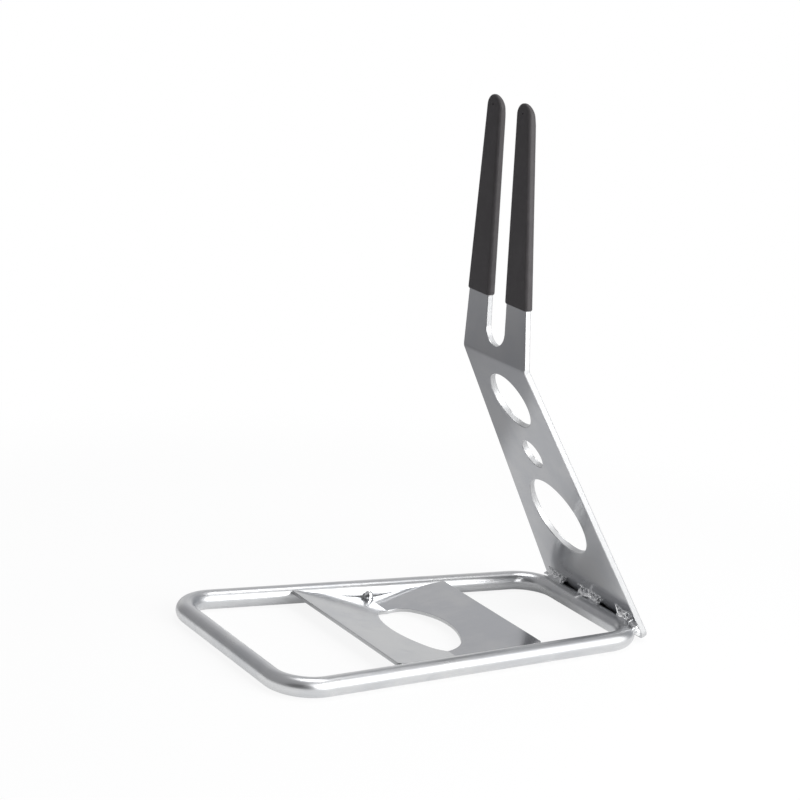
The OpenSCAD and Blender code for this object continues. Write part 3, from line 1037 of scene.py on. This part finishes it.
@dataclass
class ForkSleeves:
    """The two dipped rubber sleeves on the fork's prongs."""

    upright: UprightPlate
    side_wall: float = 1.9 * MM
    start: float = 49.0 * MM
    edge_round: float = 2.8 * MM
    end_round: float = 0.7 * MM
    corner_cut: float = 2.2 * MM
    corner_shrink: float = 0.4
    corner_least: float = 0.5 * MM
    vent_radius: float = 0.8 * MM
    vent_up: float = 2.0 * MM
    vent_depth: float = 1.0 * MM
    round_steps: int = 8
    side_steps: int = 24
    tip_steps: int = 40
    foot_steps: int = 6
    vent_steps: int = 20
    sharp_angle: float = math.radians(50.0)
    normal_weight: int = 70

    def outline(self, inset: float) -> Loop:
        """Returns a sleeve's outline across and up the upper sheet.

        Args:
            inset: how far inside the sleeve's widest outline it lies, from 0 to the edges' radius.

        Returns:
            The outline, anticlockwise, on the side away from the centre plane.
        """
        plate = self.upright
        slope = (plate.fold_width / 2.0 - plate.fork_width / 2.0) / (plate.fork_height - plate.tangent)
        lean = math.atan(slope)
        radius = plate.tip_radius + self.side_wall - inset
        centre = (plate.slot_width / 2.0 + plate.tip_radius, plate.fork_height - plate.tip_radius)
        low = self.start + self.end_round * inset / self.edge_round
        inner = centre[0] - radius
        side = (centre[0] + radius * math.cos(lean), centre[1] + radius * math.sin(lean))
        outer = side[0] + (side[1] - low) * math.tan(lean)
        cut = max(self.corner_cut - self.corner_shrink * inset, self.corner_least)
        tip = arc(centre, radius, math.degrees(lean), 180.0, self.tip_steps)
        count = self.side_steps
        levels = [side[1] + (low + cut - side[1]) * k / count for k in range(count + 1)]
        left = [(inner, up) for up in levels[1:]]
        right = [(side[0] + (side[1] - up) * math.tan(lean), up) for up in reversed(levels)]
        foot_left = arc((inner + cut, low + cut), cut, 180.0, 270.0, self.foot_steps)[1:]
        foot_right = arc((outer - cut, low + cut), cut, 270.0, 360.0, self.foot_steps)[:-1]
        return [*tip, *left, *foot_left, *foot_right, *right[:-1]]

    def lifted(self, across: float, up: float, depth: float) -> Vector:
        """Returns where a point lies that is so far across, above the fold's corner and behind the face."""
        return self.upright.folded(across, self.upright.flat_up(up), depth)

    def mesh(self, side: Side, finish: Material) -> Mesh:
        """Builds one sleeve's closed skin.

        Args:
            side: the prong that it covers.
            finish: the rubber's material.

        Returns:
            The mesh.
        """
        shape = bmesh.new()
        plate = self.upright
        low, high = -plate.sleeve_face, plate.thickness + plate.sleeve_face
        rows = [
            [shape.verts.new(self.lifted(side.value * y, up, depth)) for y, up in self.outline(inset)]
            for inset, depth in edge_rings(self.edge_round, low, high, self.round_steps)
        ]
        spot = (plate.slot_width / 2.0 + plate.tip_radius, plate.fork_height - plate.tip_radius + self.vent_up)
        vent = arc(spot, self.vent_radius, 360.0, 0.0, self.vent_steps)[:-1]
        rows_in = [
            [shape.verts.new(self.lifted(side.value * y, up, low + sunk)) for y, up in vent]
            for sunk in (0.0, self.vent_depth)
        ]
        for ring in (rows, rows_in):
            for before, after in zip(ring, ring[1:]):
                bridge(shape, before, after)
        shape.faces.new(rows_in[1])
        for rims in ((rows[0], rows_in[0]), (rows[-1],)):
            edges = [edge for row in rims for edge in rim(shape, row)]
            bmesh.ops.triangle_fill(shape, use_beauty=True, edges=edges)
        return ended(shape, "sleeve", finish)

    def build(self, finish: Material) -> None:
        """Builds and dresses both sleeves.

        Args:
            finish: the rubber's material.
        """
        for side, node in ((Side.FAR, "sleeve_far"), (Side.NEAR, "sleeve_near")):
            piece = finished_piece(f"{node}_dressed", self.mesh(side, finish), (node,))
            piece.data.set_sharp_from_angle(angle=self.sharp_angle)
            weighted = piece.modifiers.new("flat_faces", "WEIGHTED_NORMAL")
            weighted.weight = self.normal_weight
            weighted.keep_sharp = True


@dataclass(frozen=True)
class Bead:
    """One run of weld metal: where it goes, how thick it is and how it tapers."""

    start: Vector
    end: Vector
    radius: float
    pitch: float
    seed: int
    taper: float = 0.0

    def sizes(self) -> dict[str, object]:
        """Returns the bead's sizes by the names of the tree's inputs."""
        return {name.title(): value for name, value in vars(self).items()}


@dataclass
class Welds:
    """The weld beads, uneven and stringy as quick hand welding leaves them."""

    upright: UprightPlate
    trough: TroughPlate
    base: BaseLoop
    bead_radius: float = 4.2 * MM
    bead_pitch: float = 2.3 * MM
    nugget_radius: float = 4.8 * MM
    tack_radius: float = 2.6 * MM
    tack_inset: float = 4.2 * MM
    tack_drop: float = 1.2 * MM
    string_radius: Point2 = (0.85, 1.35)
    string_turn: Point2 = (2.0, 62.0)
    string_reach: Point2 = (3.4, 5.0)
    string_throw: float = 3.4
    string_spots: int = 3
    spatter_radius: Point2 = (0.5, 0.8)
    spatter_turn: float = 60.0
    spatter_reach: Point2 = (4.8, 9.0)
    spatter_throw: float = 5.0
    drop_sizes: Point2 = (0.72, 1.06)
    drop_detail: int = 3
    voxel: float = 0.36 * MM
    soften_share: float = 0.5
    soften_steps: int = 2
    roughness: float = 1.0 * MM
    lump_scale: float = 230.0
    fine_scale: float = 520.0
    fine_share: float = 0.28

    @property
    def groove_up(self) -> float:
        """Height of the groove beads' centre line."""
        return self.base.tube_d + self.bead_radius / 7.0

    def in_groove(self, y: float, turn: float, reach: float) -> Vector:
        """Returns a place beside the groove's centre line.

        Args:
            y: place along the groove, in millimetres.
            turn: angle in degrees, from 0 along the tube's top to 60 up the sheet's face.
            reach: distance from the centre line, in millimetres.

        Returns:
            The place in the stand.
        """
        angle, reach = math.radians(turn), reach * MM
        x = self.upright.floor_line + MIDDLE_SHIFT - self.groove_up * math.tan(self.upright.lower_lean)
        return Vector((x - reach * math.cos(angle), y * MM, self.groove_up + reach * math.sin(angle)))

    def recipe(self) -> GeometryRecipe:
        """Builds the node tree that lays overlapping drops of metal along a line.

        Returns:
            The tree.
        """
        recipe = GeometryRecipe("weld_bead", Bead(Vector(), Vector(), 0.0, 0.0, 0).sizes())
        graph, size = recipe.graph, recipe.source
        line = graph.form("CurvePrimitiveLine", {"Start": size["Start"], "End": size["End"]})
        spots = graph.form("ResampleCurve", {0: line, "Length": size["Pitch"]}, mode="LENGTH")
        drop = graph.form("MeshIcoSphere", {"Radius": size["Radius"], "Subdivisions": self.drop_detail})
        least, most = ((share,) * 3 for share in self.drop_sizes)
        spread = {0: least, 1: most, "Seed": size["Seed"]}
        wobble = graph.add("FunctionNodeRandomValue", spread, data_type="FLOAT_VECTOR").outputs[0]
        along = graph.add("GeometryNodeSplineParameter").outputs["Factor"]
        left = graph.math("SUBTRACT", 1.0, graph.math("MULTIPLY", along, size["Taper"]))
        scale = graph.shade("VectorMath", {0: wobble, 3: left}, operation="SCALE")
        recipe.end(graph.form("InstanceOnPoints", {"Points": spots, "Instance": drop, "Scale": scale}))
        return recipe

    def strings(self, y: float, length: float, count: int, seed: int) -> list[Bead]:
        """Returns thin strings and spatter lying over a groove bead.

        Args:
            y: the bead's middle, in millimetres.
            length: its length between the round ends, in millimetres.
            count: number of strings.
            seed: seed of their places.

        Returns:
            The strings and spatter.
        """
        dice = random.Random(seed)
        beads = []
        for k in range(count):
            at = y + dice.uniform(-0.55, 0.55) * length
            spots = []
            for _ in range(self.string_spots):
                side = at + dice.uniform(-self.string_throw, self.string_throw)
                turn = dice.uniform(*self.string_turn)
                spots.append(self.in_groove(side, turn, dice.uniform(*self.string_reach)))
            radius = dice.uniform(*self.string_radius) * MM
            for start, end in zip(spots, spots[1:]):
                beads.append(Bead(start, end, radius, 0.6 * radius, seed + 7 * k, dice.uniform(0.0, 0.5)))
        for k in range(2 * count):
            at = y + dice.uniform(-0.5, 0.5) * length + dice.uniform(-self.spatter_throw, self.spatter_throw)
            spot = self.in_groove(at, self.spatter_turn, dice.uniform(*self.spatter_reach))
            radius = dice.uniform(*self.spatter_radius) * MM
            beads.append(Bead(spot, spot + Vector((0.0, 0.3 * radius, 0.0)), radius, 0.3 * radius, seed + 90 + k))
        return beads

    def groove(self, y: float, length: float, count: int, seed: int) -> list[Bead]:
        """Returns the groove bead round a middle y, so many millimetres long, with strings over it."""
        start, end = (self.in_groove(y + half, 0.0, 0.0) for half in (length / 2.0, -length / 2.0))
        return [Bead(start, end, self.bead_radius, self.bead_pitch, seed), *self.strings(y, length, count, seed + 100)]

    def whisker(self) -> list[Bead]:
        """Lays the curled end of wire that hangs from the middle bead over the tube.

        Returns:
            Its short runs.
        """
        radius = self.base.tube_d / 2.0
        middle = Vector((self.base.run / 2.0 + MIDDLE_SHIFT, 0.0, radius))
        spots = []
        for turn, y in ((66.0, 1.5), (80.0, 5.4), (98.0, 5.2), (114.0, 7.0), (130.0, 8.8)):
            angle, reach = math.radians(turn), radius + 0.55 * MM
            spots.append(middle + Vector((reach * math.cos(angle), y * MM, reach * math.sin(angle))))
        pairs = enumerate(zip(spots, spots[1:]))
        return [Bead(start, end, 0.95 * MM, 0.35 * MM, 61 + k, 0.1) for k, (start, end) in pairs]

    def flake(self) -> list[Bead]:
        """Lays the pointed flake at the near bead's far end.

        Returns:
            The flake and its wing.
        """
        root, tip = self.in_groove(-45.0, 40.0, 2.2), self.in_groove(-42.5, 58.0, 11.0)
        wing = self.in_groove(-55.0, 56.0, 6.2)
        return [Bead(root, tip, 2.6 * MM, 0.8 * MM, 71, 0.86), Bead(root, wing, 2.4 * MM, 0.9 * MM, 72, 0.55)]

    def corner(self) -> list[Bead]:
        """Lays the weld at the foot's near corner, a run of drops down the plate's edge.

        Returns:
            The drops.
        """
        place = self.upright.floor_line + MIDDLE_SHIFT - 1.0 * MM
        lean = math.tan(self.upright.lower_lean)
        drops = ((-58.5, 15.2, 2.3), (-61.0, 13.2, 3.2), (-63.4, 11.6, 3.9), (-64.6, 9.2, 3.2), (-65.0, 7.2, 2.2))
        beads = []
        for k, (y, z, radius) in enumerate(drops):
            spot = Vector((place - z * MM * lean, y * MM, z * MM))
            beads.append(Bead(spot, spot + Vector((0.0, -0.5, -0.5)) * MM, radius * MM, 0.4 * MM, 40 + k))
        return beads

    def on_rail(self, side: Side, x: float, z: float, out: float) -> Vector:
        """Returns a place at a rail's inner side: x from the loop's middle, z up, out from the skin."""
        return Vector((x + MIDDLE_SHIFT, side.value * (self.base.rail_y(x) - self.base.tube_d / 2.0 - out), z))

    def nugget(self, side: Side) -> list[Bead]:
        """Returns the round weld at one end of the trough's fold."""
        spot = self.on_rail(side, self.trough.fold_x, 5.25 * MM, 0.3 * MM)
        return [Bead(spot, spot + Vector((0.6, 0.0, 0.0)) * MM, self.nugget_radius, 0.5 * MM, 21)]

    def tacks(self) -> list[Bead]:
        """Lays the four small welds at the trough plate's corners.

        Returns:
            The four welds.
        """
        trough = self.trough
        reach = (trough.length / 2.0 - self.tack_inset) * math.cos(trough.rise)
        z = trough.gap + trough.thickness / 2.0 + reach * math.tan(trough.rise) - self.tack_drop
        beads = []
        for seed, (end, side) in enumerate([(e, s) for e in (-1, 1) for s in Side], 31):
            spot = self.on_rail(side, trough.fold_x + end * reach, z, 0.0)
            beads.append(Bead(spot, spot + Vector((0.5, 0.0, 0.0)) * MM, self.tack_radius, 0.4 * MM, seed))
        return beads

    def melted(self, name: str, beads: list[Bead], rough: float, recipe: GeometryRecipe, finish: Material) -> Mesh:
        """Lays the beads and melts them into one uneven skin.

        Args:
            name: name of the mesh.
            beads: the beads to lay.
            rough: share of the full unevenness.
            recipe: the tree that lays one bead.
            finish: the weld's material.

        Returns:
            The mesh.
        """
        joined = bmesh.new()
        for bead in beads:
            drops = recipe.run(bead.sizes(), finish)
            joined.from_mesh(drops)
            bpy.data.meshes.remove(drops)
        mesh = bpy.data.meshes.new(name)
        joined.to_mesh(mesh)
        joined.free()
        carrier = linked("carrier", mesh)
        skin = carrier.modifiers.new("skin", "REMESH")
        skin.mode, skin.voxel_size = "VOXEL", self.voxel
        soften = carrier.modifiers.new("soften", "SMOOTH")
        soften.factor, soften.iterations = self.soften_share, self.soften_steps
        melted = evaluated_mesh(carrier)
        shift = Vector((beads[0].seed * 0.37, 0.0, 0.0))
        pushes = [
            noise.noise(vert.co * self.lump_scale + shift)
            + self.fine_share * noise.noise(vert.co * self.fine_scale + shift)
            for vert in melted.vertices
        ]
        for vert, push in zip(melted.vertices, pushes):
            vert.co += vert.normal * push * rough * self.roughness
        for polygon in melted.polygons:
            polygon.use_smooth = True
        melted.materials.clear()
        melted.materials.append(finish)
        return melted

    def build(self, finish: Material) -> None:
        """Builds and dresses every weld.

        Args:
            finish: the weld's material.
        """
        recipe = self.recipe()
        plan = {
            "weld_upright_far": (self.groove(51.0, 18.0, 9, 11), 0.8),
            "weld_upright_middle": (self.groove(1.0, 24.0, 13, 12) + self.whisker(), 0.65),
            "weld_upright_near": (self.groove(-50.0, 12.0, 3, 13) + self.flake(), 0.4),
            "weld_upright_corner": (self.corner(), 0.8),
            "weld_trough_far": (self.nugget(Side.FAR), 0.12),
            "weld_trough_near": (self.nugget(Side.NEAR), 0.12),
            "weld_trough_corners": (self.tacks(), 0.5),
        }
        for name, (beads, rough) in plan.items():
            finished_piece(f"{name}_dressed", self.melted(name, beads, rough, recipe, finish), (name,))


@dataclass(frozen=True)
class Lamp:
    """A soft box: where it hangs, its width and height, and its power in watts."""

    name: str
    spot: Triple
    size: Point2
    power: float


@dataclass(frozen=True)
class Room:
    """What the metal mirrors: a wall of light in front, a backdrop, a dim room and its dark doorway."""

    dim: tuple[Colour, Colour] = ((0.30, 0.30, 0.31), (0.38, 0.38, 0.39))
    dim_rise: Edge = Edge(UP, -0.3, 0.9)
    paper: tuple[Colour, Colour] = ((0.82, 0.82, 0.82), (0.66, 0.66, 0.67))
    paper_rise: Edge = Edge(UP, 0.05, 0.60)
    backdrop: Edge = Edge((0.56389, 0.82585, 0.0), 0.55, 0.94)
    shade: Edge = Edge(RIGHT, 0.66, 0.88)
    shade_colour: Colour = (0.36, 0.37, 0.39)
    light_edges: tuple[Edge, ...] = (Edge((0.55007, -0.83511, 0.0), 0.56, 0.80), Edge(NEAR, 0.04, 0.34))
    light_top: Edge = Edge(DOWN, -0.93, -0.76)
    light_foot: Span = (-0.02, 0.14, 0.35, 1.0)
    light_colour: Colour = (1.65, 1.65, 1.65)
    doorway: Edge = Edge((-0.58198, -0.78267, 0.22075), 0.76, 0.93)
    doorway_colour: Colour = (0.10, 0.10, 0.105)

    def world(self) -> bpy.types.World:
        """Builds the world.

        Returns:
            The finished world.
        """
        world = bpy.data.worlds.new("studio_room")
        world.use_nodes = True
        world.node_tree.nodes.clear()
        graph = NodeGraph(world.node_tree)
        look = graph.add("ShaderNodeTexCoord").outputs["Generated"]
        flat = graph.shade("VectorMath", {0: look, 1: (1.0, 1.0, 0.0)}, operation="MULTIPLY")
        level = graph.shade("VectorMath", {0: flat}, operation="NORMALIZE")
        height = graph.add("ShaderNodeSeparateXYZ", {0: look}).outputs[2]
        dim = graph.blend(graph.past(look, self.dim_rise), *self.dim)
        paper = graph.blend(graph.past(look, self.paper_rise), *self.paper)
        tone = graph.blend(graph.past(look, self.backdrop), dim, paper)
        tone = graph.blend(graph.past(look, self.shade), tone, self.shade_colour)
        side, front = (graph.past(way, edge) for way, edge in zip((level, look), self.light_edges))
        wall = graph.math("MULTIPLY", graph.math("MULTIPLY", side, front), graph.past(look, self.light_top))
        wall = graph.math("MULTIPLY", wall, graph.spread(height, *self.light_foot))
        tone = graph.blend(wall, tone, self.light_colour)
        tone = graph.blend(graph.past(look, self.doorway), tone, self.doorway_colour)
        seen = graph.shade("Background", {"Color": WHITE, "Strength": 1.0})
        felt = graph.shade("Background", {"Color": tone, "Strength": 1.0})
        camera_ray = graph.add("ShaderNodeLightPath").outputs["Is Camera Ray"]
        mixed = graph.shade("MixShader", {0: camera_ray, 1: felt, 2: seen})
        graph.add("ShaderNodeOutputWorld", {"Surface": mixed})
        return world


@dataclass
class Studio:
    """The pale floor, the soft lights, the surroundings and the camera."""

    floor_radius: float = 1.6
    floor_steps: int = 96
    floor_drop: float = 0.2 * MM
    aim: Triple = (0.0, -0.1, 0.05)
    lamps: tuple[Lamp, ...] = (
        Lamp("front_box", (0.45, -1.25, 0.55), (1.1, 0.8), 10.5),
        Lamp("top_box", (0.3, 0.1, 1.9), (1.0, 1.0), 10.0),
    )
    focal_px: float = 2594.5786
    frame_px: float = 800.0
    sensor: float = 36.0
    clip: Point2 = (0.05, 50.0)
    eye: Triple = (-1.076359, -1.681850, 0.710605)
    yaw: float = math.radians(31.76415542)
    pitch: float = math.radians(14.47975644)
    roll: float = math.radians(-5.67183494)

    def floor(self) -> None:
        """Lays the floor just under the stand."""
        mesh = bpy.data.meshes.new("studio_floor")
        shape = bmesh.new()
        bmesh.ops.create_circle(shape, cap_ends=True, segments=self.floor_steps, radius=self.floor_radius)
        bmesh.ops.translate(shape, verts=shape.verts, vec=(0.0, 0.0, -self.floor_drop))
        shape.to_mesh(mesh)
        shape.free()
        mesh.materials.append(FloorFinish("studio_floor").material())
        linked("studio_floor", mesh)

    def lights(self) -> None:
        """Hangs the soft boxes round the stand."""
        for box in self.lamps:
            data = bpy.data.lights.new(box.name, "AREA")
            data.shape = "RECTANGLE"
            data.size, data.size_y = box.size
            data.energy = box.power
            spot = Vector(box.spot)
            turn = (Vector(self.aim) - spot).to_track_quat("-Z", "Y").to_matrix().to_4x4()
            linked(box.name, data).matrix_world = Matrix.Translation(spot) @ turn

    def camera(self) -> None:
        """Sets up the camera at the photograph's place."""
        across, ahead = math.sin(self.yaw), math.cos(self.yaw)
        tilt = math.cos(self.pitch)
        forward = Vector((across * tilt, ahead * tilt, -math.sin(self.pitch)))
        level = Vector((ahead, -across, 0.0))
        down = forward.cross(level)
        cos_roll, sin_roll = math.cos(self.roll), math.sin(self.roll)
        right = level * cos_roll + down * sin_roll
        below = down * cos_roll - level * sin_roll
        turn = Matrix((right, -below, -forward)).transposed().to_4x4()
        data = bpy.data.cameras.new("camera")
        data.sensor_width = self.sensor
        data.sensor_fit = "HORIZONTAL"
        data.lens = self.focal_px / self.frame_px * self.sensor
        data.clip_start, data.clip_end = self.clip
        camera = linked("camera", data)
        camera.matrix_world = Matrix.Translation(Vector(self.eye) + Vector((MIDDLE_SHIFT, 0.0, 0.0))) @ turn
        bpy.context.scene.camera = camera

    def build(self) -> None:
        """Builds the whole studio."""
        self.camera()
        self.floor()
        self.lights()
        bpy.context.scene.world = Room().world()
        bpy.context.scene.view_settings.view_transform = "Standard"


def corners(box: tuple[Vector, Vector]) -> list[list[float]]:
    """Returns a box's two corners as plain lists."""
    return [list(corner) for corner in box]


def main() -> None:
    """Loads the frame, builds and dresses every piece and sets up the studio."""
    logging.basicConfig(level=logging.INFO, format="%(message)s")
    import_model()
    Studio().build()
    sheet = ZincFinish("zinc_sheet", Grain.FLAT_PATTERN)
    tube = replace(
        sheet,
        name="zinc_tube",
        grain=Grain.DRAWN_TUBE,
        colour=(0.71, 0.715, 0.72),
        cloud_colour=(0.63, 0.64, 0.655),
        roughness=0.28,
        line_share=0.12,
    )
    finishes = (tube, sheet, WeldFinish("weld_metal"), RubberFinish("dipped_rubber"))
    drawn, flat, weld, rubber = (finish.material() for finish in finishes)
    base, upright = BaseLoop(), UprightPlate()
    trough = TroughPlate(base=base)
    base.build(drawn)
    upright.build(flat)
    trough.build(flat)
    ForkSleeves(upright).build(rubber)
    Welds(upright, trough, base).build(weld)


if __name__ == "__main__":
    main()
